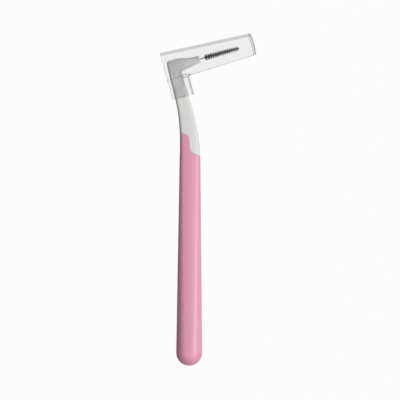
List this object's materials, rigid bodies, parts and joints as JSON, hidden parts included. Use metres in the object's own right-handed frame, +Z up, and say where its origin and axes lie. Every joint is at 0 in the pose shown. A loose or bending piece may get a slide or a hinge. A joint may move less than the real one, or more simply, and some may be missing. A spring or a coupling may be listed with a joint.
{
  "type": "interdental brush",
  "caption": "Long-handled angled interdental brush: soft grip over a hard core, a conical filament brush on twisted wire, and a clear cap that slides off the head.",
  "frame": {"origin": "centre of the bounding box, on the surface that the brush lies on", "axes": "+X along the brush towards its tip and the way the cap slides off, +Y up the neck towards the head, +Z up from the surface"},
  "size_m": [0.072, 0.1414, 0.0086],
  "materials": {
    "core_white": "satin moulded white plastic",
    "grip_pink": "soft satin pink overmould",
    "wire_steel": "drawn stainless wire",
    "filament_dark": "dark nylon",
    "cap_clear": "clear polished plastic"
  },
  "bodies": {
    "handle": {"handle_core": "core_white", "grip_sleeve": "grip_pink", "wire_stem": "wire_steel", "filaments": "filament_dark"},
    "cap": {"protective_cap": "cap_clear"}
  },
  "joints": [
    {"name": "cap_slide", "type": "slide", "parent": "handle", "child": "cap", "axis": [1, 0, 0], "range_m": [0, 0.04]}
  ]
}
